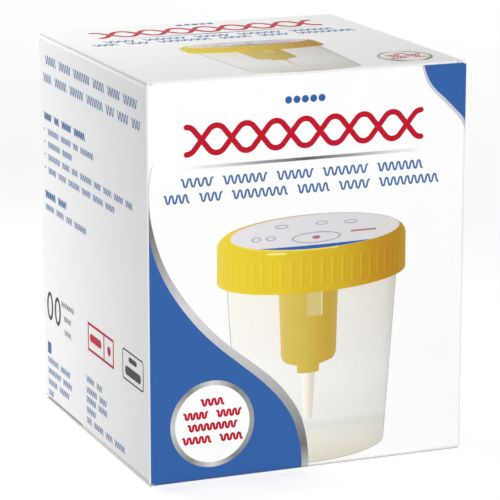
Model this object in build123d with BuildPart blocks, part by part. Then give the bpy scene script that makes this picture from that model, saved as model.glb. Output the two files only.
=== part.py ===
"""A printed folding carton with a tuck lid, and the specimen container that it holds.

The container is a tapered cup under a ribbed screw cap. A well in the cap takes a vacuum tube: a
cannula under a rubber sleeve stands in it, a straw reaches down from it into the cup, and a round
label closes it. Millimetres, +Z up. The origin is at the centre of the carton's base, and the
printed front faces -Y.
"""

from build123d import *

import os
from math import asin, degrees, pi, radians, sin

# Carton board
board = 0.4  # thickness
fold_radius = 0.9  # outside of a creased fold
front_edge_drop = 0.2  # front wall's cut edge, below the lid's top
relief = 0.5  # how far a flap's sides stand in from its fold's ends

# Room for the container
tuck_to_cap = 0.6  # between the folded-in tuck and the cap
head_room = 8.2  # between the cap and the closed dust flaps

# Carton flaps
lid_gap = 0.05  # under the lid
lid_side_inset = 0.3  # lid's cut sides, in from the walls' outer faces
hinge_edge_radius = 0.35  # outside of the lid's fold at the back
tuck_length = 14.0
tuck_clearance = 0.25  # between the tuck's fold and the front wall
tuck_lean_spare = 0.3  # degrees of lean beyond what swings clear of the front wall
tuck_side_inset = 1.5
tuck_corner_radius = 7.0
tuck_slit = 0.15  # cut between the tuck's fold and the lid's ears
dust_flap_length = 22.0
dust_flap_taper = 4.0  # slant of a dust flap's back side
dust_flap_setback = 2.4  # front side of a dust flap, behind the front wall
dust_corner_radius = 3.0
inner_base_length = 44.0
base_edge_inset = 0.3
glue_flap_width = 12.0
glue_flap_slant = 3.0
glue_flap_end = 1.5  # between the glue flap's ends and the dust flaps
seam_width = 0.12
seam_depth = 0.2

# Container
container_height = 72.0
seat_gap = 0.1  # between the cup's rim and the cap
thread_space = 1.25  # between the cup's neck and the cap's skirt
fit_gap = 0.05  # around the straw and the cannula, and inside the sleeve

# Screw cap
cap_radius = 31.0  # over the ribs
cap_height = 13.6
cap_plate = 1.5
cap_skirt = 1.3
cap_edge_radius = 1.8
cap_foot_radius = 0.5
rib_count = 56
rib_depth = 0.45
rib_width = 2.0
rib_top_band = 2.6  # plain band above the ribs
rib_foot_band = 1.4
cap_rim_width = 3.6  # round the label's recess
label_seat_depth = 0.7
plug_depth = 2.5
plug_wall = 0.8
plug_gap = 0.25  # between the plug and the inside of the cup's rim

# Port label
label_margin = 0.5  # between the label and its recess's side
label_thickness = 0.2

# Tube well, moulded in one with the cap
well_radius = 10.0
well_wall = 1.2
well_taper = 0.5
well_length = 26.5  # below the skirt
well_floor = 1.4
well_corner_radius = 1.6
nozzle_wall = 1.25
nozzle_length = 4.7
hub_wall = 1.0
hub_height = 3.0

# Straw, cannula and sleeve
straw_radius = 2.4
straw_tip_radius = 1.55
straw_bore_gap = 0.35  # between the cannula and the straw's bore
straw_grip = 4.0  # length inside the nozzle
straw_end_height = 10.8  # straw's end above the cup's foot
cannula_radius = 0.45
cannula_bore_radius = 0.2
cannula_reach = 21.0  # above the well's floor
cannula_overlap = 3.0  # length inside the straw
sleeve_wall = 0.75
sleeve_tip = 1.5  # solid rubber over the cannula's point

# Cup
cup_wall = 1.1
cup_taper = 4.2  # from the neck's radius to the base's
cup_corner_radius = 3.5
cup_floor = 1.2
foot_inset = 3.6  # foot ring's outside, in from the cup's base
foot_width = 1.5
foot_height = 1.2
rim_radius = 0.3

# Carton half sizes and levels, worked out from what it holds. The tuck leans in just enough to
# swing out past the front wall, and the walls leave room for it beside the cap.
tuck_lean = degrees(asin((tuck_length / 2 + fold_radius) / (2 * cap_radius))) + tuck_lean_spare
tuck_reach = tuck_clearance + tuck_length * sin(radians(tuck_lean)) + board
inside = cap_radius + tuck_to_cap + tuck_reach
half = inside + board
flat_half = half - fold_radius
container_foot = 3 * board
dust_underside = container_foot + container_height + head_room
wall_top = dust_underside + board
lid_underside = wall_top + lid_gap
carton_top = lid_underside + board
front_top = carton_top - front_edge_drop
inner_base_level = board
dust_base_level = 2 * board
lid_fold_start = -(inside - tuck_clearance - fold_radius)

# Container levels
cap_top = container_foot + container_height
cap_foot = cap_top - cap_height
label_seat = cap_top - label_seat_depth
cap_underside = label_seat - cap_plate
cup_rim = cap_underside - seat_gap
cup_floor_top = container_foot + foot_height + cup_floor
well_foot = cap_foot - well_length
well_floor_top = well_foot + well_floor
nozzle_foot = well_foot - nozzle_length
straw_top = nozzle_foot + straw_grip
straw_foot = container_foot + straw_end_height

# Container radii
label_seat_radius = cap_radius - cap_rim_width
skirt_inside = cap_radius - rib_depth - cap_skirt
neck_radius = skirt_inside - thread_space
neck_inside = neck_radius - cup_wall
plug_radius = neck_inside - plug_gap
cup_base_radius = neck_radius - cup_taper
foot_radius = cup_base_radius - foot_inset
straw_hole = straw_radius + fit_gap
nozzle_radius = straw_hole + nozzle_wall
cannula_hole = cannula_radius + fit_gap
hub_radius = cannula_hole + hub_wall
straw_bore_radius = cannula_radius + straw_bore_gap
sleeve_inside = hub_radius + fit_gap
sleeve_radius = sleeve_inside + sleeve_wall


def crease(plane: Plane, width: float) -> None:
    """Adds a quarter-round fold to the part. The plane's origin is the fold's sharp outer corner,
    its x axis runs in along the flap and its y axis runs back along the wall."""
    with BuildSketch(plane) as fold:
        with BuildLine():
            centre = (fold_radius, fold_radius)
            outer = CenterArc(centre, fold_radius, 180, 90)
            inner = CenterArc(centre, fold_radius - board, 180, 90)
            Line(outer @ 0, inner @ 0)
            Line(outer @ 1, inner @ 1)
        make_face()
    extrude(fold.sketch, amount=width / 2, both=True)


def revolved(*points: tuple[float, float], rounded: dict) -> None:
    """Adds a solid of revolution about Z with the outline given as (radius, height) points. The
    corners listed in rounded, each point with its radius, are rounded first."""
    with BuildSketch(Plane.XZ) as outline:
        with BuildLine():
            Polyline(*points, close=True)
        make_face()
        for point, radius in rounded.items():
            fillet(outline.vertices().sort_by_distance(point)[0], radius)
    revolve(outline.sketch, axis=Axis.Z)


# The carton is one folded sheet: four walls, two dust flaps at the top, and a glued base of two
# dust flaps, an inner panel from the front wall and an outer panel from the back wall.
with BuildPart() as carton:
    with BuildSketch(Plane.XY.offset(dust_base_level)):
        RectangleRounded(2 * half, 2 * half, fold_radius)
        RectangleRounded(2 * inside, 2 * inside, fold_radius - board, mode=Mode.SUBTRACT)
    extrude(amount=wall_top - dust_base_level)

    # The side walls are cut back to where their folds start, and get folds and dust flaps.
    side_fold_x = half - fold_radius / 2
    flap_tip = inside - dust_flap_length
    flap_front = -(inside - dust_flap_setback)
    flap_back = flat_half - relief
    for level, into_wall, flap_level in (
        (wall_top, -1, dust_underside),
        (dust_base_level, 1, dust_base_level),
    ):
        fold_z = level + into_wall * fold_radius / 2
        with Locations((side_fold_x, 0, fold_z), (-side_fold_x, 0, fold_z)):
            Box(fold_radius, 2 * flat_half, fold_radius, mode=Mode.SUBTRACT)
        crease(Plane((half, 0, level), x_dir=(-1, 0, 0), z_dir=(0, into_wall, 0)), 2 * flat_half)
        with BuildSketch(Plane.XY.offset(flap_level)) as dust_flap:
            with BuildLine():
                Polyline(
                    (flat_half, -flat_half),
                    (flat_half, flat_half),
                    (flat_half - relief, flap_back),
                    (flap_tip, flap_back - dust_flap_taper),
                    (flap_tip, flap_front),
                    (flat_half - relief, flap_front),
                    close=True,
                )
            make_face()
            free_corners = dust_flap.vertices().group_by(Axis.X)[0]
            fillet(free_corners, dust_corner_radius)
        extrude(amount=board)
    mirror(about=Plane.YZ)

    # The front wall's cut top edge stands beside the lid's fold.
    with Locations((0, -(half - board / 2), (wall_top + front_top) / 2)):
        Box(2 * flat_half, board, front_top - wall_top)

    # Base panels: the inner one folds from the front wall, the outer one from the back wall.
    inner_end = -half + inner_base_length
    for side, level, far_end, inset in (
        (-1, inner_base_level, inner_end, relief),
        (1, 0, -(half - base_edge_inset), base_edge_inset),
    ):
        wall_end = level + fold_radius
        with Locations((0, side * (half - fold_radius / 2), wall_end / 2)):
            Box(2 * flat_half, fold_radius, wall_end, mode=Mode.SUBTRACT)
        crease(
            Plane((0, side * half, level), x_dir=(0, -side, 0), z_dir=(-side, 0, 0)),
            2 * flat_half,
        )
        fold_end = side * flat_half
        with Locations((0, (fold_end + far_end) / 2, level + board / 2)):
            Box(2 * (half - inset), abs(fold_end - far_end), board)

    # The glue flap comes round from the right wall and is stuck inside the back wall.
    glue_low = dust_base_level + board + glue_flap_end
    glue_high = dust_underside - glue_flap_end
    glue_free_side = flat_half - glue_flap_width
    with BuildSketch(Plane.XZ.offset(-inside)):
        with BuildLine():
            Polyline(
                (flat_half, glue_low),
                (flat_half, glue_high),
                (glue_free_side, glue_high - glue_flap_slant),
                (glue_free_side, glue_low + glue_flap_slant),
                close=True,
            )
        make_face()
    extrude(amount=board)

    # A groove marks the cut side of the back wall beside the glue flap's fold.
    with Locations((flat_half, half, (wall_top + dust_base_level) / 2)):
        Box(seam_width, 2 * seam_depth, wall_top - dust_base_level, mode=Mode.SUBTRACT)

# The lid folds at the back wall's top, and its tuck folds down behind the front wall.
with BuildPart() as lid:
    lid_half_width = half - lid_side_inset
    with BuildSketch(Plane.XY.offset(lid_underside)):
        with Locations((0, (half + lid_fold_start) / 2)):
            Rectangle(2 * lid_half_width, half - lid_fold_start)
    extrude(amount=board)
    back_edges = lid.faces().sort_by(Axis.Y)[-1].edges()
    fillet(back_edges.sort_by(Axis.Z)[-1], hinge_edge_radius)

    tuck_half_width = lid_half_width - tuck_side_inset
    with BuildSketch(Plane.YZ):
        with BuildLine():
            outer_fold = JernArc((lid_fold_start, carton_top), (-1, 0), fold_radius, 90 + tuck_lean)
            outer_face = PolarLine(outer_fold @ 1, tuck_length, direction=outer_fold % 1)
            inner_fold = JernArc(
                (lid_fold_start, lid_underside), (-1, 0), fold_radius - board, 90 + tuck_lean
            )
            inner_face = PolarLine(inner_fold @ 1, tuck_length, direction=inner_fold % 1)
            Line(outer_face @ 1, inner_face @ 1)
            Line(outer_fold @ 0, inner_fold @ 0)
        make_face()
    extrude(amount=tuck_half_width, both=True)
    tip_edges = lid.faces().sort_by(Axis.Z)[0].edges()
    fillet(tip_edges.sort_by(SortBy.LENGTH)[:2], tuck_corner_radius)

    # Ears beside the tuck's fold carry the lid's full width to the front wall.
    ear_width = tuck_side_inset - tuck_slit
    ear_spacing = 2 * lid_half_width - ear_width
    with Locations((0, lid_fold_start - fold_radius / 2, lid_underside + board / 2)):
        with GridLocations(ear_spacing, 0, 2, 1):
            Box(ear_width, fold_radius, board)

# The cup has a straight neck under the cap, a tapered body and a ring to stand on.
with BuildPart() as cup:
    foot_top = container_foot + foot_height
    outer_corner = (cup_base_radius, foot_top)
    inner_corner = (cup_base_radius - cup_wall, cup_floor_top)
    rim_outside = (neck_radius, cup_rim)
    rim_inside = (neck_inside, cup_rim)
    revolved(
        (0, foot_top),
        (foot_radius - foot_width, foot_top),
        (foot_radius - foot_width, container_foot),
        (foot_radius, container_foot),
        (foot_radius, foot_top),
        outer_corner,
        (neck_radius, cap_foot),
        rim_outside,
        rim_inside,
        (neck_inside, cap_foot),
        inner_corner,
        (0, cup_floor_top),
        rounded={
            outer_corner: cup_corner_radius,
            inner_corner: cup_corner_radius - cup_wall,
            rim_outside: rim_radius,
            rim_inside: rim_radius,
        },
    )

# The cap carries the well, the nozzle that grips the straw and the hub that carries the sleeve.
with BuildPart() as cap:
    top_edge = (cap_radius, cap_top)
    foot_edge = (cap_radius, cap_foot)
    well_corner = (well_radius - well_taper, well_foot)
    revolved(
        (well_radius - well_wall, label_seat),
        (label_seat_radius, label_seat),
        (label_seat_radius, cap_top),
        top_edge,
        foot_edge,
        (skirt_inside, cap_foot),
        (skirt_inside, cap_underside),
        (plug_radius, cap_underside),
        (plug_radius, cap_underside - plug_depth),
        (plug_radius - plug_wall, cap_underside - plug_depth),
        (plug_radius - plug_wall, cap_underside),
        (well_radius, cap_underside),
        well_corner,
        (nozzle_radius, well_foot),
        (nozzle_radius, nozzle_foot),
        (straw_hole, nozzle_foot),
        (straw_hole, straw_top),
        (cannula_hole, straw_top),
        (cannula_hole, well_floor_top + hub_height),
        (hub_radius, well_floor_top + hub_height),
        (hub_radius, well_floor_top),
        (well_radius - well_taper - well_wall, well_floor_top),
        rounded={
            top_edge: cap_edge_radius,
            foot_edge: cap_foot_radius,
            well_corner: well_corner_radius,
        },
    )
    groove_width = 2 * pi * cap_radius / rib_count - rib_width
    groove_low = cap_foot + rib_foot_band
    groove_high = cap_top - rib_top_band
    with Locations((0, 0, (groove_low + groove_high) / 2)):
        with PolarLocations(cap_radius, rib_count):
            Box(2 * rib_depth, groove_width, groove_high - groove_low, mode=Mode.SUBTRACT)

# A round label lies in the cap's recess and closes the well.
with BuildPart() as label:
    with BuildSketch(Plane.XY.offset(label_seat)):
        Circle(label_seat_radius - label_margin)
    extrude(amount=label_thickness)

# The cannula runs from the straw's bore up through the hub.
cannula_foot = straw_top - cannula_overlap
cannula_top = well_floor_top + cannula_reach
with BuildPart() as cannula:
    with BuildSketch(Plane.XY.offset(cannula_foot)):
        Circle(cannula_radius)
        Circle(cannula_bore_radius, mode=Mode.SUBTRACT)
    extrude(amount=cannula_top - cannula_foot)

# The rubber sleeve stands on the well's floor round the hub and covers the cannula's point.
with BuildPart() as sleeve:
    sleeve_top = cannula_top + fit_gap + sleeve_tip
    top_corner = (sleeve_radius, sleeve_top)
    revolved(
        (sleeve_inside, well_floor_top),
        (sleeve_radius, well_floor_top),
        top_corner,
        (0, sleeve_top),
        (0, cannula_top + fit_gap),
        (sleeve_inside, cannula_top + fit_gap),
        rounded={top_corner: sleeve_tip / 2},
    )

# The straw hangs from the nozzle and tapers towards the cup's floor.
with BuildPart() as straw:
    revolved(
        (straw_bore_radius, straw_foot),
        (straw_tip_radius, straw_foot),
        (straw_radius, nozzle_foot),
        (straw_radius, straw_top),
        (straw_bore_radius, straw_top),
        rounded={},
    )

os.makedirs("parts", exist_ok=True)
carton.part.label = "carton_body"
export_step(carton.part, "parts/carton_body.step")
lid.part.label = "tuck_lid"
export_step(lid.part, "parts/tuck_lid.step")
cup.part.label = "cup"
export_step(cup.part, "parts/cup.step")
cap.part.label = "screw_cap"
export_step(cap.part, "parts/screw_cap.step")
label.part.label = "port_label"
export_step(label.part, "parts/port_label.step")
cannula.part.label = "cannula"
export_step(cannula.part, "parts/cannula.step")
sleeve.part.label = "cannula_sleeve"
export_step(sleeve.part, "parts/cannula_sleeve.step")
straw.part.label = "straw"
export_step(straw.part, "parts/straw.step")
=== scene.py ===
"""Looks of a printed folding carton and of the specimen container that stands inside it.

Metres, in the frame's axes: +Z up, the printed front faces -Y and the lid is hinged at +Y. The
print is made of thin closed films that lie on the board in layers. Their outlines are given in
millimetres: u runs to the right and v runs up, as each face is seen from outside.
"""

from math import asin, atan, cos, hypot, pi, radians, sin, sqrt
from random import Random

import bmesh
import bpy
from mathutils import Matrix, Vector
from mathutils.geometry import tessellate_polygon
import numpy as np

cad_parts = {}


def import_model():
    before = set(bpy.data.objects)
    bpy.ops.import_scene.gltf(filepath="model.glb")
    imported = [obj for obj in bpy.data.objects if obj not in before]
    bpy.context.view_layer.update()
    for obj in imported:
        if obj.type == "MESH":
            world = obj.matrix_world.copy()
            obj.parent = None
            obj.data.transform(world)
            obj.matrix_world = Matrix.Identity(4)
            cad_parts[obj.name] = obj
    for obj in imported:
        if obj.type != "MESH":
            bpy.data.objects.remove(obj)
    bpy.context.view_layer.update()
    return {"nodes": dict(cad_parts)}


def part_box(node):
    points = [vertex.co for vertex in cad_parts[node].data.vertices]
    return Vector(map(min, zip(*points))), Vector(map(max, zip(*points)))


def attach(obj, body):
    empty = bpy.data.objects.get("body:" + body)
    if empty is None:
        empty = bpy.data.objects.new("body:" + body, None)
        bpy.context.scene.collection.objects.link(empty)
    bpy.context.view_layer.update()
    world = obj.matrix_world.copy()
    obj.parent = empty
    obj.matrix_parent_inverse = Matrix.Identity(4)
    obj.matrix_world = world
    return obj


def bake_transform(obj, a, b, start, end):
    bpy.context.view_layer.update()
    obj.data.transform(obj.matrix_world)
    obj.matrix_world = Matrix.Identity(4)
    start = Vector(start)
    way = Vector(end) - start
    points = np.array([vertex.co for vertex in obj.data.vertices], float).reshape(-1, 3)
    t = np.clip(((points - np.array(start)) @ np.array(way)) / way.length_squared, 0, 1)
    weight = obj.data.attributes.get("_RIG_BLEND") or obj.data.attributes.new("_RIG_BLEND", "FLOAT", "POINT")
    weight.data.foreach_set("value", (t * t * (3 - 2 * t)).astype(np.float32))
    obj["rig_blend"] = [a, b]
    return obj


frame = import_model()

MM = 0.001

# The carton, read from the frame, and the two sizes of its board
BOARD = 0.4 * MM
FOLD_RADIUS = 0.9 * MM
LID_GAP = 0.05 * MM
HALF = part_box("carton_body")[1].x
FRONT_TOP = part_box("carton_body")[1].z
CARTON_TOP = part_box("tuck_lid")[1].z
WALL_TOP = CARTON_TOP - BOARD - LID_GAP
FLAT_HALF = HALF - FOLD_RADIUS
FRONT_FOLD = BOARD + FOLD_RADIUS  # height where the front wall starts to fold under
LID_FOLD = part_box("tuck_lid")[0].y + FOLD_RADIUS  # where the lid starts to fold down
LABEL_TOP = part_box("port_label")[1].z

# Layers of print
LAYER = 0.025 * MM
SUNK = -0.01 * MM  # the print's underside, just inside the board
FOLD_STEPS = 5  # strips that print is cut into over a fold
SHARP_EDGE = radians(30)  # edges that turn by more than this aren't shaded smooth

# Camera, at the photograph's angle
AZIMUTH = radians(-22)
ELEVATION = radians(13.5)
DISTANCE = 0.5847
FOCAL_WIDTHS = 5.5  # focal length in image widths
AIM_RIGHT = 0.85 * MM  # where the camera aims, from the carton's middle
AIM_UP = -2.66 * MM

# Stage
SKY = 0.37  # strength of the sky's light on the object
FLOOR_RADIUS = 3.0
FLOOR_DROP = 0.02 * MM
FLOOR_GREY = 0.6  # the grey that the floor gives back as light
FLOOR_WHITE = 0.64  # the white that it shows by itself near the object
FLOOR_SHADOW = 0.5  # the grey on which shadows show there
FADE_START = 0.16  # distances between which the floor fades into the sky
FADE_END = 0.75
POOL_SOFTNESS = 0.08  # radius of a narrow lamp


# Shader nodes


def feed(tree, node, inputs):
    """Sets a node's inputs, each to a plain value or to the socket that feeds it."""
    for key, value in inputs.items():
        if isinstance(value, bpy.types.NodeSocket):
            tree.links.new(value, node.inputs[key])
        else:
            node.inputs[key].default_value = value


def add(tree, kind, inputs, **settings):
    """Adds a shader node with those inputs and properties."""
    node = tree.nodes.new("ShaderNode" + kind)
    for key, value in settings.items():
        setattr(node, key, value)
    feed(tree, node, inputs)
    return node


def new_material(name):
    """A new material with its node tree and its main shader."""
    material = bpy.data.materials.new(name)
    material.use_nodes = True
    tree = material.node_tree
    return material, tree, tree.nodes["Principled BSDF"]


def tone(red, green, blue):
    """A colour as a screen shows it, 0 to 255, in the linear values that shaders take."""
    shares = [value / 255 for value in (red, green, blue)]
    linear = [((s + 0.055) / 1.055) ** 2.4 if s > 0.04045 else s / 12.92 for s in shares]
    return (*linear, 1)


def calculate(tree, operation, first, second=0.0):
    """One sum on two numbers."""
    return add(tree, "Math", {0: first, 1: second}, operation=operation).outputs[0]


def spread(tree, value, low, high, new_low=0.0, new_high=1.0):
    """Maps a number from one range to another and holds it inside."""
    inputs = {"Value": value, "From Min": low, "From Max": high}
    inputs.update({"To Min": new_low, "To Max": new_high})
    return add(tree, "MapRange", inputs).outputs["Result"]


def ramp(tree, factor, stops):
    """A colour that runs through the stops, each (place, colour), as factor goes from 0 to 1."""
    node = add(tree, "ValToRGB", {"Fac": factor})
    elements = node.color_ramp.elements
    elements.remove(elements[1])
    elements[0].position = stops[0][0]
    elements[0].color = stops[0][1]
    for position, colour in stops[1:]:
        elements.new(position).color = colour
    return node.outputs["Color"]


def mix(tree, factor, first, second, blend="MIX"):
    """Two colours mixed, or combined as blend says. A Mix node takes colours at sockets 6 and 7."""
    inputs = {0: factor, 6: first, 7: second}
    return add(tree, "Mix", inputs, data_type="RGBA", blend_type=blend).outputs[2]


def own_place(tree):
    """The place on the object at rest, in metres."""
    return add(tree, "TexCoord", {}).outputs["Object"]


def noise(tree, place, size, detail=3.0, stretch=(1, 1, 1)):
    """A cloudy value from 0 to 1 with lumps of about that size in metres."""
    scaled = add(tree, "Mapping", {"Vector": place, "Scale": stretch}).outputs["Vector"]
    inputs = {"Vector": scaled, "Scale": 1 / size, "Detail": detail}
    return add(tree, "TexNoise", inputs).outputs["Fac"]


def varied(tree, cloud, low, high):
    """A number that runs from low to high as the cloud does. Most of a cloud is 0.3 to 0.7."""
    return spread(tree, cloud, 0.3, 0.7, low, high)


def uneven(tree, colour, cloud, amount):
    """The colour, lighter and darker by that share where the cloud is high and low."""
    return brighter(tree, colour, varied(tree, cloud, 1 - amount, 1 + amount))


def brighter(tree, colour, strength):
    """The colour times a number."""
    colour = colour[:3] if isinstance(colour, tuple) else colour
    inputs = {0: colour, "Scale": strength}
    return add(tree, "VectorMath", inputs, operation="SCALE").outputs["Vector"]


def bump(tree, height, depth):
    """A surface normal from a height of 0 to 1 that stands for depth in metres."""
    inputs = {"Height": height, "Distance": depth, "Strength": 1.0}
    return add(tree, "Bump", inputs).outputs["Normal"]


def print_place(tree):
    """The place on the print, (u, v) in millimetres, as two sockets."""
    vector = add(tree, "Attribute", {}, attribute_name="print").outputs["Vector"]
    parts = add(tree, "SeparateXYZ", {"Vector": vector})
    return parts.outputs["X"], parts.outputs["Y"]


# Materials

RAW_ROUGHNESS = 0.85
COAT_ROUGHNESS = 0.42
INK_ROUGHNESS = (0.46, 0.54)
CAP_SPAN = (-20.1, 21.1)  # edges of the pictured cap, for its colours


def board_fibre(tree, place):
    """The fine fibres of board."""
    return noise(tree, place, 0.35 * MM, 5, (1, 1, 0.45))


def board_material():
    """Bleached board: coated and smooth outside, raw and fibrous inside and at cut edges."""
    material, tree, shader = new_material("board")
    place = own_place(tree)
    normal = add(tree, "TexCoord", {}).outputs["Normal"]
    xyz = add(tree, "SeparateXYZ", {"Vector": place})
    facing = add(tree, "SeparateXYZ", {"Vector": normal})

    # Outside of the walls, top of the upper flaps and lid, underside of the base
    across = calculate(tree, "ABSOLUTE", xyz.outputs["X"])
    along = calculate(tree, "ABSOLUTE", xyz.outputs["Y"])
    reach = calculate(tree, "MAXIMUM", across, along)
    wall = calculate(tree, "GREATER_THAN", reach, HALF - 0.85 * BOARD)
    tilt = 0.4  # least share of a normal that points up or down
    upward = calculate(tree, "GREATER_THAN", facing.outputs["Z"], tilt)
    high = calculate(tree, "GREATER_THAN", xyz.outputs["Z"], WALL_TOP - 2 * BOARD)
    downward = calculate(tree, "LESS_THAN", facing.outputs["Z"], -tilt)
    low = calculate(tree, "LESS_THAN", xyz.outputs["Z"], FRONT_FOLD)
    top = calculate(tree, "MULTIPLY", upward, high)
    base = calculate(tree, "MULTIPLY", downward, low)
    flaps = calculate(tree, "MAXIMUM", top, base)
    coated = calculate(tree, "MAXIMUM", wall, flaps)

    fibre = board_fibre(tree, place)
    cloud = noise(tree, place, 6 * MM, 2)
    coat = uneven(tree, tone(249, 249, 249), cloud, 0.006)
    pulp = ramp(tree, fibre, [(0.3, tone(229, 226, 218)), (0.7, tone(242, 240, 234))])
    feed(tree, shader, {
        "Base Color": mix(tree, coated, pulp, coat),
        "Roughness": spread(tree, coated, 0, 1, RAW_ROUGHNESS, COAT_ROUGHNESS),
        "Specular IOR Level": 0.35,
        "Normal": bump(tree, fibre, 0.006 * MM),
    })
    return material


def ink_material(name, colour_of):
    """Printing ink under a satin varnish. colour_of gives its colour in the material's tree."""
    material, tree, shader = new_material(name)
    place = own_place(tree)
    cloud = noise(tree, place, 1.5 * MM, 4)
    fibre = board_fibre(tree, place)
    feed(tree, shader, {
        "Base Color": uneven(tree, colour_of(tree), cloud, 0.012),
        "Roughness": varied(tree, cloud, *INK_ROUGHNESS),
        "Specular IOR Level": 0.15,
        "Normal": bump(tree, fibre, 0.004 * MM),
    })
    return material


def flat_ink(name, *rgb):
    """An ink of one colour."""
    return ink_material(name, lambda tree: tone(*rgb))


def greys(*pairs):
    """Ramp stops from (place, grey) pairs."""
    return [(place, tone(grey, grey, grey)) for place, grey in pairs]


def sweep_silver(tree):
    """Silver gradient of the sweep's band, dark where it leaves the left edge."""
    height = spread(tree, print_place(tree)[1], 0, 68)
    stops = [(0.01, 188), (0.044, 155), (0.08, 112), (0.118, 125), (0.176, 149), (0.235, 164)]
    stops += [(0.324, 186), (0.441, 202), (0.53, 212), (0.588, 194), (0.647, 170), (0.706, 146)]
    stops += [(0.765, 119), (0.8, 117), (0.853, 148), (0.91, 183), (0.98, 235)]
    return ramp(tree, height, greys(*stops))


def ring_silver(tree):
    """Silver gradient that turns round the badge's ring."""
    u, v = print_place(tree)
    turn = spread(tree, calculate(tree, "ARCTAN2", v, u), -pi, pi)
    stops = [(0, 204), (0.08, 170), (0.16, 134), (0.25, 212), (0.34, 124), (0.42, 150), (0.5, 158)]
    stops += [(0.57, 152), (0.655, 125), (0.75, 212), (0.845, 130), (0.92, 178), (1, 204)]
    return ramp(tree, turn, greys(*stops))


def rule_grey(tree):
    """The rule under the title: dark in the middle, fading towards its ends."""
    along = spread(tree, print_place(tree)[0], -27, 25)
    stops = [(0, 249), (0.12, 222), (0.3, 160), (0.5, 92), (0.7, 160), (0.88, 222), (1, 249)]
    return ramp(tree, along, greys(*stops))


def colours(*stops):
    """Ramp stops from (place, red, green, blue)."""
    return [(place, tone(*rgb)) for place, *rgb in stops]


def cap_yellow(left, right):
    """The pictured cap's yellow, lit from the left, times a strength that runs across it."""
    def colour_of(tree):
        u = print_place(tree)[0]
        yellow = ramp(tree, spread(tree, u, *CAP_SPAN), colours(
            (0, 232, 209, 84), (0.07, 232, 207, 58), (0.3, 226, 198, 50), (0.5, 212, 181, 45),
            (0.66, 204, 171, 42), (0.82, 187, 142, 32), (0.95, 175, 131, 34), (1, 181, 144, 56),
        ))
        return brighter(tree, yellow, spread(tree, u, *CAP_SPAN, left, right))
    return colour_of


def well_ochre(tree):
    """The pictured tube well, seen through the cup's wall."""
    return ramp(tree, spread(tree, print_place(tree)[0], -7, 6.4), colours(
        (0, 223, 202, 124), (0.12, 215, 190, 98), (0.4, 209, 184, 82), (0.65, 199, 170, 70),
        (0.8, 192, 160, 62), (0.93, 190, 162, 78), (1, 198, 174, 104),
    ))


def straw_ivory(tree):
    """The pictured straw, round and lit from the left."""
    return ramp(tree, spread(tree, print_place(tree)[0], -1.9, 1.2), colours(
        (0, 250, 248, 238), (0.25, 249, 246, 234), (0.5, 238, 232, 215), (0.72, 219, 213, 196),
        (1, 216, 212, 196),
    ))


def cup_haze(tree):
    """The pictured cup: frosted plastic, darker at its right side and in its base."""
    u, v = print_place(tree)
    shade = ramp(tree, spread(tree, u, -18, 19.2), greys(
        (0, 251), (0.1, 250), (0.25, 246), (0.45, 242), (0.7, 235), (0.82, 230), (0.92, 224),
        (1, 203),
    ))
    body = ramp(tree, spread(tree, v, 1.4, 40), colours(
        (0, 232, 226, 209), (0.1, 243, 240, 228), (0.17, 243, 242, 233), (0.2, 238, 238, 233),
        (0.24, 248, 247, 243), (0.45, 254, 253, 250), (0.65, 252, 249, 245), (1, 250, 247, 233),
    ))
    return mix(tree, 1.0, shade, body, "MULTIPLY")


def label_lilac(tree):
    """The pictured label, foreshortened on the cap."""
    return ramp(tree, spread(tree, print_place(tree)[0], -17.2, 20.6), colours(
        (0, 229, 225, 228), (0.15, 223, 222, 225), (0.5, 216, 216, 219), (0.8, 215, 214, 217),
        (1, 216, 213, 208),
    ))


def moulded(name, rgb, roughness, grain, depth, **extra):
    """Moulded plastic or rubber: a fine grain, and a faint unevenness in its colour."""
    material, tree, shader = new_material(name)
    place = own_place(tree)
    cloud = noise(tree, place, 5 * MM, 3)
    fine = noise(tree, place, grain, 4)
    feed(tree, shader, {
        "Base Color": uneven(tree, tone(*rgb), cloud, 0.03),
        "Roughness": varied(tree, fine, roughness - 0.05, roughness + 0.05),
        "Normal": bump(tree, fine, depth),
    })
    more = {key.replace("_", " "): value for key, value in extra.items()}
    feed(tree, shader, more)
    return material


def steel_material():
    """Drawn steel tube with fine lines along it."""
    material, tree, shader = new_material("steel")
    lines = noise(tree, own_place(tree), 0.06 * MM, 3, (1, 1, 0.02))
    feed(tree, shader, {
        "Base Color": uneven(tree, tone(200, 200, 202), lines, 0.05),
        "Metallic": 1.0,
        "Roughness": varied(tree, lines, 0.22, 0.34),
        "Normal": bump(tree, lines, 0.003 * MM),
    })
    return material


# Flat outlines, in millimetres

END_STEPS = 6  # steps in a line's round end
CURVE_STEPS = 8  # steps between two points of a curve
FINE_PITCH = 4  # waves closer than this get fewer points
WORD_PITCHES = 6.2  # mean length of a word, in pitches of its wave
GAP_PITCHES = 1.25  # gap between words


def oval(u, v, width, height, start=0, end=360, count=72):
    """Points along an ellipse with those half sizes, from one angle to another."""
    steps = max(2, round(count * abs(end - start) / 360))
    full = abs(end - start) == 360
    angles = [radians(start + (end - start) * k / steps) for k in range(steps + (not full))]
    return [(u + width * cos(a), v + height * sin(a)) for a in angles]


def bar(left, right, v, height):
    """A bar with round ends."""
    r = height / 2
    return oval(right - r, v, r, r, -90, 90, 24) + oval(left + r, v, r, r, 90, 270, 24)


def rounded_box(left, right, bottom, top, radius):
    """A rectangle with rounded corners."""
    corners = ((right, top, 0), (left, top, 90), (left, bottom, 180), (right, bottom, 270))
    points = []
    for u, v, turn in corners:
        inward = (1 if u == left else -1, 1 if v == bottom else -1)
        centre = (u + inward[0] * radius, v + inward[1] * radius)
        points += oval(*centre, radius, radius, turn, turn + 90, 24)
    return points


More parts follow.
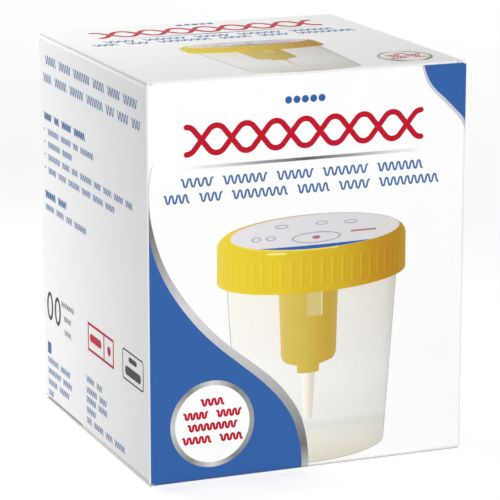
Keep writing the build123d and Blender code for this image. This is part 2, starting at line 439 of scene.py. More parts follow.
def stroke(path, width):
    """The outline of a line of that width with round ends."""
    half = width / 2
    sides = ([], [])
    headings = []
    for k in range(len(path)):
        before = path[max(k - 1, 0)]
        after = path[min(k + 1, len(path) - 1)]
        run, rise = after[0] - before[0], after[1] - before[1]
        length = hypot(run, rise)
        headings.append((run / length, rise / length))
    for (u, v), (run, rise) in zip(path, headings):
        sides[0].append((u - rise * half, v + run * half))
        sides[1].append((u + rise * half, v - run * half))
    caps = []
    for (u, v), (run, rise) in ((path[-1], headings[-1]), (path[0], [-h for h in headings[0]])):
        angles = [pi / 2 - pi * k / END_STEPS for k in range(1, END_STEPS)]
        caps.append([
            (u + half * (run * cos(a) - rise * sin(a)), v + half * (rise * cos(a) + run * sin(a)))
            for a in angles
        ])
    return sides[0] + caps[0] + sides[1][::-1] + caps[1]


def smooth(points):
    """A curve through the points."""
    ends = [points[0]] + list(points) + [points[-1]]
    curve = []
    for a, b, c, d in zip(ends, ends[1:], ends[2:], ends[3:]):
        for k in range(CURVE_STEPS):
            t = k / CURVE_STEPS
            curve.append(tuple(
                b[i] + t * (c[i] - a[i] + t * (2 * a[i] - 5 * b[i] + 4 * c[i] - d[i]
                + t * (3 * b[i] - a[i] - 3 * c[i] + d[i]))) / 2
                for i in (0, 1)
            ))
    return curve + [points[-1]]


def wave(left, right, v, height, pitch, width, first_up=True):
    """A wavy line: round crests and troughs, half a pitch apart, joined by straight runs. The first
    and the last are only half round."""
    halves = max(2, round(2 * (right - left - width) / pitch))
    step = (right - left - width) / halves
    radius = max(0.32 * step, 0.56 * width)
    rise = max((height - width) / 2 - radius, 0.01)
    slope = atan(2 * rise / step) + asin(min(1, 2 * radius / sqrt(step ** 2 + 4 * rise ** 2)))
    slope = min(slope, pi / 2)
    arc = 2 if pitch < FINE_PITCH else 7  # steps on each side of a crest
    path = []
    for k in range(halves + 1):
        side = 1 if (k % 2 == 0) == first_up else -1
        for turn in range(arc if k else 0, -arc - 1 if k < halves else -1, -1):
            angle = slope * turn / arc
            u = left + width / 2 + k * step - radius * sin(angle)
            path.append((u, v + side * (rise + radius * cos(angle))))
    return stroke(path, width)


def words(left, right, v, height, pitch, width, chance):
    """A line of print: waves as long as words, with gaps, between two ends."""
    count = max(1, round((right - left) / (WORD_PITCHES * pitch)))
    shares = [chance.uniform(0.55, 1.5) for _ in range(count)]
    gap = GAP_PITCHES * pitch
    scale = (right - left - gap * (count - 1)) / sum(shares)
    shapes = []
    for share in shares:
        shapes.append([wave(left, left + share * scale, v, height, pitch, width)])
        left += share * scale + gap
    return shapes


def block(lines, style, chance):
    """Lines of print in one style, each from its left end, right end and middle."""
    shapes = []
    for left, right, v in lines:
        shapes += words(left, right, v, *style, chance)
    return shapes


def on_layer(layer, shapes):
    """The shapes with their layer, as film takes them."""
    return [(layer, loops) for loops in shapes]


# Faces of the carton: each turns (u, v, lift) into a place in the frame


def bent(past, lift):
    """How far a point of the skin lies along a face and out from it, past the start of a fold."""
    if past <= 0:
        return past, lift
    angle = past / FOLD_RADIUS
    reach = FOLD_RADIUS + lift
    return reach * sin(angle), reach * cos(angle) - FOLD_RADIUS


def on_front(u, v, lift):
    """The front wall, with the folds at its sides and at its foot."""
    side = 1 if u > 0 else -1
    run, out = bent(abs(u) * MM - FLAT_HALF, lift)
    drop, out_low = bent(FRONT_FOLD - v * MM, lift)
    return Vector((side * (FLAT_HALF + run), -(HALF + min(out, out_low)), FRONT_FOLD - drop))


def on_left(u, v, lift):
    """The left wall. u runs towards the front."""
    return Vector((-(HALF + lift), -u * MM, v * MM))


def on_top(u, v, lift):
    """The lid, with the start of its fold at the front."""
    run, out = bent(LID_FOLD - v * MM, lift)
    return Vector((u * MM, LID_FOLD - run, CARTON_TOP + out))


def on_label(u, v, lift):
    """The label on the cap."""
    return Vector((u * MM, v * MM, LABEL_TOP + lift))


def placed(face, du, dv, scale=1.0, stretch=1.0):
    """The same face with print moved, scaled and drawn taller on it."""
    return lambda u, v, lift: face(du + scale * u, dv + scale * stretch * v, lift)


def fold_cuts():
    """Planes that cut print where it bends over the front wall's folds."""
    cuts = []
    for k in range(FOLD_STEPS):
        past = k * FOLD_RADIUS * pi / 2 / FOLD_STEPS
        for side in (-1, 1):
            cuts.append(((side * (FLAT_HALF + past) / MM, 0, 0), (1, 0, 0)))
        cuts.append(((0, (FRONT_FOLD - past) / MM, 0), (0, 1, 0)))
    return cuts


def film(name, body, material, face, shapes, cuts=()):
    """One closed piece of print. shapes are (layer, loops): loops are the outlines of a shape, its
    outside first and then its holes. Its points keep their (u, v) for the colours of the ink."""
    sheet = bmesh.new()
    sheet.verts.layers.float.new("lift")
    sheet.verts.layers.float_vector.new("print")
    height = sheet.verts.layers.float["lift"]
    own = sheet.verts.layers.float_vector["print"]
    for layer, loops in shapes:
        points = [Vector((u, v, 0)) for loop in loops for u, v in loop]
        verts = [sheet.verts.new(point) for point in points]
        for vert in verts:
            vert[height] = layer * LAYER
        outlines = [[Vector((u, v, 0)) for u, v in loop] for loop in loops]
        for triangle in tessellate_polygon(outlines):
            sheet.faces.new([verts[k] for k in triangle])
    for place, normal in cuts:
        everything = sheet.verts[:] + sheet.edges[:] + sheet.faces[:]
        bmesh.ops.bisect_plane(sheet, geom=everything, plane_co=place, plane_no=normal, dist=1e-6)

    # The raised copy is marked by a height of 1 until its points go to their places on the face.
    raised = bmesh.ops.extrude_face_region(sheet, geom=sheet.faces[:], use_keep_orig=True)
    for item in raised["geom"]:
        if isinstance(item, bmesh.types.BMVert):
            item.co.z = 1
    for vert in sheet.verts:
        u, v, up = vert.co
        vert[own] = (u, v, 0)
        vert.co = face(u, v, vert[height] if up else SUNK)
    sheet.verts.layers.float.remove(height)
    bmesh.ops.recalc_face_normals(sheet, faces=sheet.faces[:])
    return piece(name, sheet, body, material)


def piece(name, sheet, body, material):
    """Turns a bmesh into a named piece on its body, or on none yet."""
    mesh = bpy.data.meshes.new(name)
    sheet.to_mesh(mesh)
    sheet.free()
    mesh.materials.append(material)
    mesh.shade_smooth()
    mesh.set_sharp_from_angle(angle=SHARP_EDGE)
    thing = bpy.data.objects.new(name, mesh)
    bpy.context.scene.collection.objects.link(thing)
    if body:
        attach(thing, body)
    return thing


# Inks
BLUE = flat_ink("ink_blue", 51, 96, 162)
TEXT_BLUE = flat_ink("ink_text_blue", 68, 110, 160)
CRIMSON = flat_ink("ink_crimson", 186, 18, 42)
DARK = flat_ink("ink_dark", 60, 60, 62)
WHITE = flat_ink("ink_white", 252, 252, 252)
PALE = flat_ink("ink_pale_silver", 200, 201, 206)
SWEEP = ink_material("ink_sweep_silver", sweep_silver)
RING = ink_material("ink_ring_silver", ring_silver)
RULE = ink_material("ink_rule", rule_grey)
CAP = ink_material("ink_cap", cap_yellow(1.0, 1.0))
CAP_LIGHT = ink_material("ink_cap_light", cap_yellow(1.04, 1.17))
CAP_SHADE = ink_material("ink_cap_shade", cap_yellow(0.975, 0.93))
CAP_RIM = flat_ink("ink_cap_rim", 238, 212, 88)
CAP_GLINT = flat_ink("ink_cap_glint", 244, 229, 136)
WELL = ink_material("ink_well", well_ochre)
WELL_PALE = flat_ink("ink_well_pale", 208, 190, 122)
WELL_GLINT = flat_ink("ink_well_glint", 236, 226, 186)
STRAW = ink_material("ink_straw", straw_ivory)
CUP = ink_material("ink_cup", cup_haze)
CUP_EDGE = flat_ink("ink_cup_edge", 190, 187, 176)
LABEL = ink_material("ink_label", label_lilac)
MARK = flat_ink("ink_mark", 172, 172, 182)
MARK_RED = flat_ink("ink_mark_red", 178, 112, 118)

# Sizes of the print, in millimetres on its face
EDGE = (FLAT_HALF + FOLD_RADIUS * pi / 4) / MM  # the middle of a side fold
FOOT = 0.0
COLUMN_FOOT = 2 * BOARD / MM + 0.05  # foot of the corner between two walls
TITLE = (-27.0, 24.8, 70.3, 6.6)  # left, right, middle and height of the braid
TITLE_STROKE = 1.14
TITLE_PITCH = 12.7
DOT_ROW = (-1.2, 77.0)  # its middle
DOT_RADIUS = 0.75
DOT_SPACING = 1.8
HEADER_RULE = (-27.0, 25.0, 64.9, 0.62)  # left, right, middle and height
HEADER_LINES = ((-27.7, 24.8, 61.9), (-31.3, 28.4, 58.8))  # left, right and middle
BADGE_RADIUS = 9.03
BADGE_WHITE = 8.03
BADGE_LINES = ((2.6, 4.6), (6.3, 2.0), (5.4, -0.5), (6.6, -3.1))  # half length and level

# Styles of print: height, pitch and stroke of a line's waves
HEADER_STYLE = (1.95, 1.55, 0.4)
BADGE_STYLE = (1.7, 1.3, 0.5)
LARGE_STYLE = (2.0, 1.5, 0.33)
BOLD_STYLE = (1.75, 1.25, 0.48)
SMALL_STYLE = (1.45, 1.1, 0.26)
TINY_STYLE = (1.2, 1.15, 0.22)


def header(where, face, body, tall=1.0):
    """Braid, row of dots, rule and two lines. The braid and the lines are that much taller."""
    left, right, middle, height = TITLE
    strands = [
        (1 + k, [wave(left, right, middle, tall * height, TITLE_PITCH, TITLE_STROKE, k == 0)])
        for k in (0, 1)
    ]
    film(f"{where}_ornament", body, CRIMSON, face, strands)
    u, v = DOT_ROW
    dots = [
        (1, [oval(u + DOT_SPACING * k, v, DOT_RADIUS, DOT_RADIUS, count=32)])
        for k in range(-2, 3)
    ]
    film(f"{where}_dots", body, BLUE, face, dots)
    film(f"{where}_rule", body, RULE, face, [(1, [bar(*HEADER_RULE)])])
    style = (tall * HEADER_STYLE[0], *HEADER_STYLE[1:])
    lines = on_layer(1, block(HEADER_LINES, style, Random(3)))
    film(f"{where}_lines", body, TEXT_BLUE, face, lines)


def badge(where, face, body):
    """White disc with a silver ring and four crimson lines."""
    disc = oval(0, 0, BADGE_WHITE + 0.1, BADGE_WHITE + 0.1, count=96)
    ring = [oval(0, 0, r, r, count=96) for r in (BADGE_RADIUS, BADGE_WHITE)]
    film(f"{where}_badge_disc", body, WHITE, face, [(5, [disc])])
    film(f"{where}_badge_ring", body, RING, face, [(6, ring)])
    lines = []
    for half, v in BADGE_LINES:
        lines += words(-half, half, v, *BADGE_STYLE, Random(round(half)))
    film(f"{where}_badge_lines", body, CRIMSON, face, on_layer(6, lines))


def sweep():
    """Blue sweep at the front's lower left, under a silver band, and the blue upper corner."""
    flat = FLAT_HALF / MM
    tip_out, tip_in = -0.15, -1.65  # sides of the band at its foot
    outside = smooth([
        (-33.2, 66.9), (-34.0, 63.5), (-34.3, 60.0), (-34.1, 56.0), (-33.4, 52.0), (-32.2, 48.0),
        (-30.5, 44.0), (-28.1, 40.0), (-25.2, 36.0), (-21.8, 32.0), (-17.6, 28.0), (-12.6, 24.0),
        (-7.9, 20.0), (-4.5, 16.0), (-2.1, 12.0), (-0.9, 8.0), (-0.3, 4.0), (tip_out, 0.6),
    ])
    inside = smooth([
        (-EDGE, 51.6), (-33.5, 48.0), (-32.0, 44.0), (-29.9, 40.0), (-27.2, 36.0), (-24.0, 32.0),
        (-20.0, 28.0), (-15.3, 24.0), (-10.6, 20.0), (-6.8, 16.0), (-4.1, 12.0), (-2.6, 8.0),
        (-1.85, 4.0), (tip_in, 0.6),
    ])
    band = outside + [(tip_out, FOOT), (tip_in, FOOT)] + inside[::-1]
    band += [(-EDGE, 62.0), (-33.9, 65.3)]
    field = inside + [(tip_in, FOOT), (-flat, FOOT), (-flat, COLUMN_FOOT), (-EDGE, COLUMN_FOOT)]
    cuts = fold_cuts()
    film("front_sweep_band", "carton", SWEEP, on_front, [(4, [band])], cuts)

    front_top, wall_top = FRONT_TOP / MM, WALL_TOP / MM
    rim = smooth([
        (24.3, front_top), (24.7, 80.6), (25.5, 78.6), (26.7, 76.9), (28.9, 74.8), (31.1, 72.6),
        (33.2, 70.3), (EDGE, 68.1),
    ])
    edge = smooth([
        (24.75, front_top), (25.2, 80.6), (26.1, 78.7), (27.5, 76.9), (29.6, 75.0), (31.7, 72.9),
        (33.6, 70.9), (EDGE, 69.4),
    ])
    corner = edge + [(EDGE, wall_top), (flat, wall_top), (flat, front_top)]
    fields = [(4, [field]), (4, [corner])]
    film("front_fields", "carton", BLUE, on_front, fields, cuts)
    film("front_corner_edge", "carton", PALE, on_front, [(4, [rim + edge[::-1]])], cuts)


# The pictured container, in millimetres on the front: places and half sizes
PICTURE_AXIS = 0.5
UNDER_CAP = 40  # level where the cap hides the cup and the well
CUP_BASE = (PICTURE_AXIS, 5.0, 16.0, 3.6)
STRAW_AXIS = -0.35
NECK_FOOT = 20.8
CAP_HALF = 20.6
CAP_FOOT = (PICTURE_AXIS, 41.0, CAP_HALF, 3.8)
CROWN_FOOT = 47.3
CROWN_HEIGHT = 6.1
CROWN_SQUARENESS = 0.68
RIB_TURN = 360 / 56
RIBS_ASIDE = 12  # ribs on each side of the middle one
RIB_TOP = (46.5, 2.1)  # level at the cap's sides, and how much lower in the middle
RIB_FOOT = (42.5, 3.8)
CAP_SHINE = (-7.4, 45.9, 2.4, 0.24)
LABEL_OVAL = (1.2, 49.8, 18.5, 3.5)
LABEL_MARK = (1.3, 48.65)  # middle of the mark at the label's front
LABEL_RINGS = (
    (-6.2, 51.4, 1.5, 0.42), (2.5, 51.5, 1.4, 0.42), (8.9, 51.3, 1.5, 0.42),
    (-11.7, 49.2, 1.1, 0.5), (-8.6, 49.2, 1.1, 0.5),
)


def cap_depth(u):
    """How far round the pictured cap a point stands towards the viewer, from 0 to 1."""
    return sqrt(max(0, 1 - ((u - PICTURE_AXIS) / CAP_HALF) ** 2))


def picture_cup(where, face, body):
    """Tapered cup with its rounded base and thin outlines."""
    left = [(-18.0, UNDER_CAP), (-15.45, 5.0)]
    right = [(19.1, UNDER_CAP), (16.5, 5.0)]
    outline = left + oval(*CUP_BASE, 180, 360) + right[::-1]
    film(f"{where}_cup", body, CUP, face, [(1, [outline])])
    near_edge = stroke(right + oval(*CUP_BASE, 355, 235), 0.16)
    far_edge = stroke(left, 0.14)
    edges = on_layer(2, [[near_edge], [far_edge]])
    film(f"{where}_cup_edge", body, CUP_EDGE, face, edges)


def picture_well(where, face, body):
    """Tube well with its neck, the straw, and the paler patch that shows through."""
    foot = smooth([(-6.3, 24.6), (-5.4, 23.1), (-2.8, 22.2)]) + [(-2.75, NECK_FOOT)]
    foot += oval(STRAW_AXIS, NECK_FOOT, 2.4, 0.35, 190, 350, 40)
    foot += [(2.05, NECK_FOOT)] + smooth([(2.1, 22.2), (4.9, 23.1), (5.8, 24.6)])
    outline = [(-6.9, UNDER_CAP), *foot, (6.2, UNDER_CAP)]
    film(f"{where}_well", body, WELL, face, [(2, [outline])])
    patch = [(-0.7, UNDER_CAP), (-0.7, 32.3), (2.7, 32.3), (2.7, UNDER_CAP)]
    film(f"{where}_well_patch", body, WELL_PALE, face, [(3, [patch])])
    glint = stroke([(2.6, 39.6), (2.6, 32.5)], 0.2)
    film(f"{where}_well_glint", body, WELL_GLINT, face, [(3.5, [glint])])
    tip = oval(STRAW_AXIS, 11.2, 0.95, 0.4, 190, 350, 30)
    tube = [(-1.9, 20.9), (-1.3, 11.2), *tip, (0.6, 11.2), (1.2, 20.9)]
    film(f"{where}_straw", body, STRAW, face, [(1.6, [tube])])


def cap_crown(start, end):
    """The pictured cap's upper outline between two angles, squarer than an oval."""
    angles = [radians(turn) for turn in range(start, end + 1, 3)]
    return [
        (PICTURE_AXIS + CAP_HALF * cos(a), CROWN_FOOT + CROWN_HEIGHT * sin(a) ** CROWN_SQUARENESS)
        for a in angles
    ]


def picture_cap(where, face, body):
    """Cap, the lit and the shaded sides of its ribs, and a glint."""
    outline = cap_crown(3, 177) + oval(*CAP_FOOT, 180, 360)
    film(f"{where}_cap", body, CAP, face, [(4, [outline])])
    rib_sides = (("light", CAP_LIGHT, -0.3, 0.5), ("shade", CAP_SHADE, 0.35, 0.6))
    for name, ink, aside, width in rib_sides:
        ribs = []
        for k in range(-RIBS_ASIDE, RIBS_ASIDE + 1):
            turn = radians(k * RIB_TURN)
            half = width / 2 * cos(turn)
            u = PICTURE_AXIS + CAP_HALF * sin(turn) + aside * cos(turn)
            foot, top = (level - drop * cap_depth(u) for level, drop in (RIB_FOOT, RIB_TOP))
            ribs.append((5, [rounded_box(u - half, u + half, foot, top, 0.8 * half)]))
        film(f"{where}_cap_{name}", body, ink, face, ribs)
    glint = [(u, v - 0.06 * (u - CAP_SHINE[0])) for u, v in oval(*CAP_SHINE)]
    film(f"{where}_cap_glint", body, CAP_GLINT, face, [(5, [glint])])


def picture_label(where, face, body):
    """The label on the pictured cap, the cap's edges round it, a blue band and plain marks."""
    u, v, width, height = LABEL_OVAL
    film(f"{where}_label", body, LABEL, face, [(5, [oval(*LABEL_OVAL)])])
    rim = stroke(oval(u, v, width + 0.12, height + 0.1, 190, 285), 0.36)
    film(f"{where}_label_rim", body, CAP_RIM, face, [(4.6, [rim])])
    crown = stroke(cap_crown(24, 150), 0.13)
    film(f"{where}_crown_edge", body, CUP_EDGE, face, [(5.5, [crown])])
    crescent = oval(u, v, width - 0.1, height - 0.06, 228, 312)
    (left, end), (right, _) = crescent[0], crescent[-1]
    steps = 16
    inner = [
        (left + (right - left) * k / steps, end - 0.16 * (1 - (2 * k / steps - 1) ** 2))
        for k in range(steps + 1)
    ]
    film(f"{where}_label_band", body, BLUE, face, [(6, [crescent + inner[-2:0:-1]])])
    marks = [[oval(*LABEL_MARK, 5.4, 1.15), oval(*LABEL_MARK, 4.95, 0.93)]]
    for middle, level, half, rise in LABEL_RINGS:
        outer = oval(middle, level, half, rise, count=32)
        inner = oval(middle, level, half - 0.35, rise - 0.18, count=32)
        marks.append([outer, inner])
    film(f"{where}_label_marks", body, MARK, face, on_layer(6, marks))
    red = [[bar(8.8, 14.5, 49.3, 0.34)], [oval(*LABEL_MARK, 0.9, 0.36, count=32)]]
    film(f"{where}_label_red", body, MARK_RED, face, on_layer(6, red))


def picture(where, face, body):
    """The container as it is pictured on the carton."""
    picture_cup(where, face, body)
    picture_well(where, face, body)
    picture_cap(where, face, body)
    picture_label(where, face, body)


def box_frame(left, right, bottom, top, width, radius=0.0):
    """The loops of a rectangular frame."""
    inner = max(radius - width, 0.01)
    outer = rounded_box(left, right, bottom, top, max(radius, 0.01))
    return [outer, rounded_box(left + width, right - width, bottom + width, top - width, inner)]


# Lines on the left wall, in millimetres: left, right and middle
LEFT_LARGE = ((-29.7, 28.6, 77.0), (-31.2, 30.4, 73.0))
LEFT_BOLD = ((-31.3, -3.7, 64.6), (-31.3, -16.7, 47.3))
LEFT_SMALL = (
    (-28.8, 1.6, 61.4), (-28.8, -12.4, 58.6), (-28.8, 25.4, 55.8), (-28.8, 14.5, 52.9),
    (-31.3, -3.7, 44.5),
    (-31.3, -15.9, 9.9), (-31.3, -14.8, 7.4), (-31.3, -16.7, 4.9), (-31.3, -27.6, 2.4),
    (-4.9, 5.4, 12.5), (-4.9, 8.1, 10.1), (-4.9, 8.4, 8.0), (-4.9, 1.1, 5.7), (-4.9, 19.3, 3.4),
)
LEFT_TINY = ((-21.4, -12.7, 24.9), (-19.6, -14.8, 21.9), (-19.4, -14.9, 18.9))

# Other marks on the left wall
BULLET_LEVELS = (61.7, 58.9, 56.1, 53.2)
CRIMSON_FRAME = (-3.5, 13.0, 19.1, 25.3, 0.55)
DARK_FRAME = (18.4, 31.0, 18.9, 25.4, 0.34, 0.9)
RING_MIDDLES = (-29.2, -23.9)
RING_LEVEL = 22.4


def left_print():
    """The left wall: large, bold, small and tiny lines, bullets, two frames and two rings."""
    chance = Random(11)
    lines = block(LEFT_LARGE, LARGE_STYLE, chance)
    lines += block(LEFT_SMALL, SMALL_STYLE, chance)
    lines += [[oval(-30.9, v, 0.26, 0.26, count=16)] for v in BULLET_LEVELS]
    lines += block(LEFT_BOLD, BOLD_STYLE, chance)
    lines.append([rounded_box(-31.3, -28.9, 11.4, 14.0, 0.4)])
    film("left_lines", "carton", TEXT_BLUE, on_left, on_layer(1, lines))

    cells = on_layer(1, [box_frame(*CRIMSON_FRAME)])
    cells += on_layer(1.2, [
        [bar(-2.2, 5.2, 22.2, 1.7)],
        [rounded_box(6.6, 7.1, 19.3, 25.1, 0.05)],
        [oval(10.0, 22.2, 1.0, 1.0, count=32)],
    ])
    film("left_crimson_frame", "carton", CRIMSON, on_left, cells)

    dark = [box_frame(*DARK_FRAME), [bar(22.2, 27.0, 23.7, 1.1)], [bar(20.0, 29.4, 21.1, 1.9)]]
    for middle in RING_MIDDLES:
        dark.append([oval(middle, RING_LEVEL, 2.1, 3.2), oval(middle, RING_LEVEL, 1.15, 2.35)])
    dark += block(LEFT_TINY, TINY_STYLE, chance)
    film("left_dark_marks", "carton", DARK, on_left, on_layer(1, dark))


# Print on the label in the cap, in millimetres
EDGE_MARGIN = 0.8  # blank rim round the blue edge
EDGE_BOW = 3.4  # how far the blue edge's inner line bows towards the middle
RING_RADII = (9.2, 8.6)
LABEL_BARS = (  # middle, level and length
    (-15.5, 9.5, 6), (15.5, 9.5, 6), (0, 17.5, 8), (-17, -4.5, 5), (17, -4.5, 5),
)


def port_label_print():
    """Plain print on the label in the cap: a blue edge at the front, a ring and a few bars."""
    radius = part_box("port_label")[1].x / MM - EDGE_MARGIN
    edge = oval(0, 0, radius, radius, 232, 308)
    last = len(edge) - 1
    chord = [(u, v + EDGE_BOW * (1 - (2 * k / last - 1) ** 2)) for k, (u, v) in enumerate(edge)]
    blue = [(1, [edge + chord[-2:0:-1]])]
    film("port_label_blue", "cap", BLUE, on_label, blue)
    marks = [[oval(0, 0, r, r) for r in RING_RADII]]
    marks += [[bar(u - length / 2, u + length / 2, v, 1.2)] for u, v, length in LABEL_BARS]
    film("port_label_marks", "cap", MARK, on_label, on_layer(1, marks))


# Screw threads: two ridges on the cup's neck and two inside the cap
THREAD_LEAD = 4.0 * MM
THREAD_TURNS = 1.15
THREAD_STEPS = 96
ROOT_HALF = 0.42 * MM  # half widths of a ridge at its root and at its crest
CREST_HALF = 0.18 * MM
NECK_THREAD = (27.95 * MM, 28.65 * MM)  # radii of root and crest
CAP_THREAD = (29.3 * MM, 28.6 * MM)

# The lid's fold at the back
HINGE_RADIUS = 0.35 * MM
CREASE_DOWN = (1.2 * MM, 0.5 * MM, 0.1 * MM)  # rows of the skin down the wall
CREASE_ALONG = (0.6 * MM, 0.9 * MM, 1.6 * MM)  # and along the lid


def close_bar(mesh, sections):
    """Adds the faces of a closed bar that runs through four-cornered sections."""
    for one, other in zip(sections, sections[1:]):
        for j in range(4):
            mesh.faces.new((one[j], one[j - 1], other[j - 1], other[j]))
    mesh.faces.new(sections[0])
    mesh.faces.new(sections[-1])


def thread(name, body, material, radii, foot, turn):
    """Two helical ridges between the radii of root and crest, rising from foot."""
    root, crest = radii
    ridge = bmesh.new()
    for start in (0, 1):
        sections = []
        for k in range(THREAD_STEPS + 1):
            share = k / THREAD_STEPS
            angle = turn + start * pi + 2 * pi * THREAD_TURNS * share
            swell = min(1, 9 * min(share, 1 - share) + 0.05)
            tip = root + (crest - root) * swell
            level = foot + THREAD_LEAD * THREAD_TURNS * share
            section = []
            for radius, off in (
                (root, -ROOT_HALF), (tip, -CREST_HALF), (tip, CREST_HALF), (root, ROOT_HALF),
            ):
                place = (radius * cos(angle), radius * sin(angle), level + off)
                section.append(ridge.verts.new(place))
            sections.append(section)
        close_bar(ridge, sections)
    bmesh.ops.recalc_face_normals(ridge, faces=ridge.faces[:])
    piece(name, ridge, body, material)


def outward_of(path):
    """For each point of a path in (y, z), the direction that points out of the board there."""
    outward = []
    for k in range(len(path)):
        before, after = path[max(k - 1, 0)], path[min(k + 1, len(path) - 1)]
        run, rise = after[0] - before[0], after[1] - before[1]
        length = hypot(run, rise)
        outward.append((rise / length, -run / length))
    return outward


def hinge_crease(material):
    """The coated skin that runs over the lid's fold at the back, and bends when the lid opens."""
    back, top, radius = HALF, CARTON_TOP, HINGE_RADIUS
    steps = 8
    path = [(back, WALL_TOP - down) for down in CREASE_DOWN]
    for k in range(steps + 1):
        angle = radians(90 * k / steps)
        path.append((back - radius + radius * cos(angle), top - radius + radius * sin(angle)))
    path += [(back - along, top) for along in CREASE_ALONG]
    corners = ((-FLAT_HALF, SUNK), (-FLAT_HALF, LAYER), (FLAT_HALF, LAYER), (FLAT_HALF, SUNK))
    skin = bmesh.new()
    sections = []
    for (y, z), out in zip(path, outward_of(path)):
        section = []
        for x, lift in corners:
            section.append(skin.verts.new((x, y + lift * out[0], z + lift * out[1])))
        sections.append(section)
    close_bar(skin, sections)
    bmesh.ops.recalc_face_normals(skin, faces=skin.faces[:])
    strip = piece("hinge_crease", skin, None, material)
    start = (0, back, WALL_TOP - 0.2 * MM)
    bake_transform(strip, "carton", "lid", start=start, end=(0, back - 0.45 * MM, top))


# The frame's own nodes


def dress_nodes():
    """Materials of the carton and of the container's parts, the threads and the hinge's skin."""
    board = board_material()
    cup = moulded(
        "clear_plastic", (245, 245, 240), roughness=0.34, grain=0.25 * MM, depth=0.004 * MM,
        Transmission_Weight=0.82, IOR=1.49,
    )
    yellow = moulded(
        "yellow_plastic", (238, 205, 52), roughness=0.3, grain=0.5 * MM, depth=0.003 * MM,
        Subsurface_Weight=0.12, Subsurface_Scale=0.001,
    )
    paper = moulded(
        "label_paper", (238, 238, 241), roughness=0.45, grain=0.3 * MM, depth=0.003 * MM,
    )
    rubber = moulded(
        "sleeve_rubber", (206, 201, 186), roughness=0.6, grain=0.2 * MM, depth=0.004 * MM,
    )
    white = moulded(
        "white_plastic", (243, 240, 231), roughness=0.4, grain=0.4 * MM, depth=0.003 * MM,
    )
    finishes = {
        "carton_body": board,
        "tuck_lid": board,
        "cup": cup,
        "screw_cap": yellow,
        "port_label": paper,
        "cannula": steel_material(),
        "cannula_sleeve": rubber,
        "straw": white,
    }
    for name, material in finishes.items():
        node = frame["nodes"][name]
        node.data.materials.clear()
        node.data.materials.append(material)
    thread("cup_thread", "carton", cup, NECK_THREAD, foot=63.6 * MM, turn=0.0)
    thread("cap_thread", "cap", yellow, CAP_THREAD, foot=61.4 * MM, turn=0.6)
    hinge_crease(board)


# Stage


def background_share(tree):
    """1 for rays from the camera, mirrors and glass, and 0 for light that falls on things."""
    path = add(tree, "LightPath", {})
    seen = calculate(tree, "MAXIMUM", path.outputs["Is Camera Ray"], path.outputs["Is Glossy Ray"])
    return calculate(tree, "MAXIMUM", seen, path.outputs["Is Transmission Ray"])


def floor():
    """A wide pale floor that shows almost white and keeps the carton's shadow."""
    material = bpy.data.materials.new("floor")
    material.use_nodes = True
    tree = material.node_tree
    tree.nodes.clear()
    share = background_share(tree)
    away = add(tree, "VectorMath", {0: own_place(tree)}, operation="LENGTH").outputs["Value"]
    shown = spread(tree, away, FADE_START, FADE_END, FLOOR_SHADOW, 0.0)
    white = spread(tree, away, FADE_START, FADE_END, FLOOR_WHITE, 1.0)
    grey = add(tree, "Mix", {0: share, 2: FLOOR_GREY, 3: shown}).outputs[0]
    colour = add(tree, "CombineColor", {0: grey, 1: grey, 2: grey})
    diffuse = add(tree, "BsdfDiffuse", {"Color": colour.outputs[0]})
    glow = add(tree, "Emission", {"Strength": calculate(tree, "MULTIPLY", share, white)})
    both = add(tree, "AddShader", {0: diffuse.outputs[0], 1: glow.outputs[0]})
    add(tree, "OutputMaterial", {"Surface": both.outputs[0]})
    plate = bmesh.new()
    bmesh.ops.create_circle(plate, cap_ends=True, segments=96, radius=FLOOR_RADIUS)
    mesh = bpy.data.meshes.new("floor")
    plate.to_mesh(mesh)
    plate.free()
    mesh.materials.append(material)
    thing = bpy.data.objects.new("floor", mesh)
    bpy.context.scene.collection.objects.link(thing)
    thing.location.z = -FLOOR_DROP


def world():
    """White to the eye, and a softer even light on the object."""
    background = bpy.data.worlds.new("studio")
    background.use_nodes = True
    tree = background.node_tree
    strength = spread(tree, background_share(tree), 0, 1, SKY, 1.0)
    feed(tree, tree.nodes["Background"], {"Color": (1, 1, 1, 1), "Strength": strength})
    bpy.context.scene.world = background


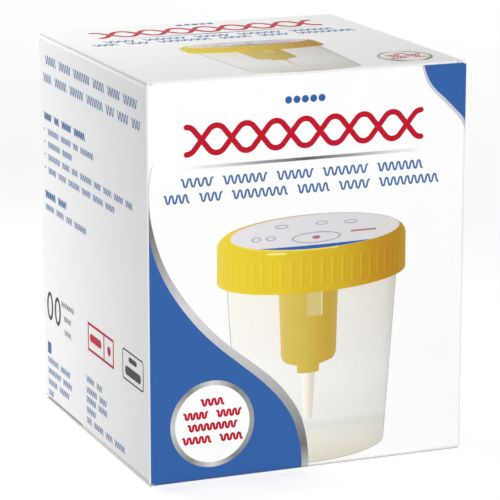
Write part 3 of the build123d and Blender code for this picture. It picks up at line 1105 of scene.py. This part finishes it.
def lamp(name, kind, place, target, power):
    """A lamp that the camera and mirrors don't see."""
    data = bpy.data.lights.new(name, kind)
    data.energy = power
    thing = bpy.data.objects.new(name, data)
    bpy.context.scene.collection.objects.link(thing)
    thing.location = place
    thing.rotation_euler = (Vector(place) - Vector(target)).to_track_quat("Z", "Y").to_euler()
    thing.visible_camera = False
    thing.visible_glossy = False
    return data


def panel(name, place, target, size, power):
    """A broad soft lamp."""
    lamp(name, "AREA", place, target, power).size = size


def pool(name, place, target, radius, power):
    """A soft lamp whose light fades from its target out to that radius."""
    data = lamp(name, "SPOT", place, target, power)
    data.spot_size = 2 * atan(radius / (Vector(place) - Vector(target)).length)
    data.spot_blend = 1.0
    data.shadow_soft_size = POOL_SOFTNESS


def lamps():
    """Broad light from the front and from behind, and two pools that fade across left and top."""
    middle = (0, 0, 0.04)
    panel("front_light", (-0.17, -1.1, 0.3), middle, size=0.9, power=11.4)
    panel("back_light", (0.75, 0.75, 0.06), middle, size=0.5, power=6.5)
    left_edge = (-HALF, 0.12, 0.041)
    pool("left_light", (-0.6, 0.1, 0.045), left_edge, radius=0.155, power=10.3)
    top_edge = (-0.07, 0.09, CARTON_TOP)
    pool("top_light", (-0.1, 0.12, 0.7), top_edge, radius=0.165, power=9.8)


def camera():
    """A long lens at the photograph's angle."""
    data = bpy.data.cameras.new("camera")
    data.lens = FOCAL_WIDTHS * data.sensor_width
    back = Vector((
        sin(AZIMUTH) * cos(ELEVATION), -cos(AZIMUTH) * cos(ELEVATION), sin(ELEVATION),
    ))
    turn = back.to_track_quat("Z", "Y")
    middle = Vector((0, 0, CARTON_TOP / 2))
    target = middle + turn @ Vector((AIM_RIGHT, AIM_UP, 0))
    thing = bpy.data.objects.new("camera", data)
    bpy.context.scene.collection.objects.link(thing)
    thing.location = target + DISTANCE * back
    thing.rotation_euler = turn.to_euler()
    bpy.context.scene.camera = thing


dress_nodes()
sweep()
header("front", on_front, "carton")
header("top", placed(on_top, 1.7, -50.9, stretch=1.07), "lid", tall=1.14)
badge("front", placed(on_front, -21.2, 12.1), "carton")
badge("top", placed(on_top, 25.2, -24.4, scale=0.63), "lid")
picture("front", on_front, "carton")
picture("top", placed(on_top, 0.45, -34.15, scale=0.735), "lid")
left_print()
port_label_print()
floor()
world()
lamps()
camera()

bpy.context.scene.view_settings.view_transform = "Standard"
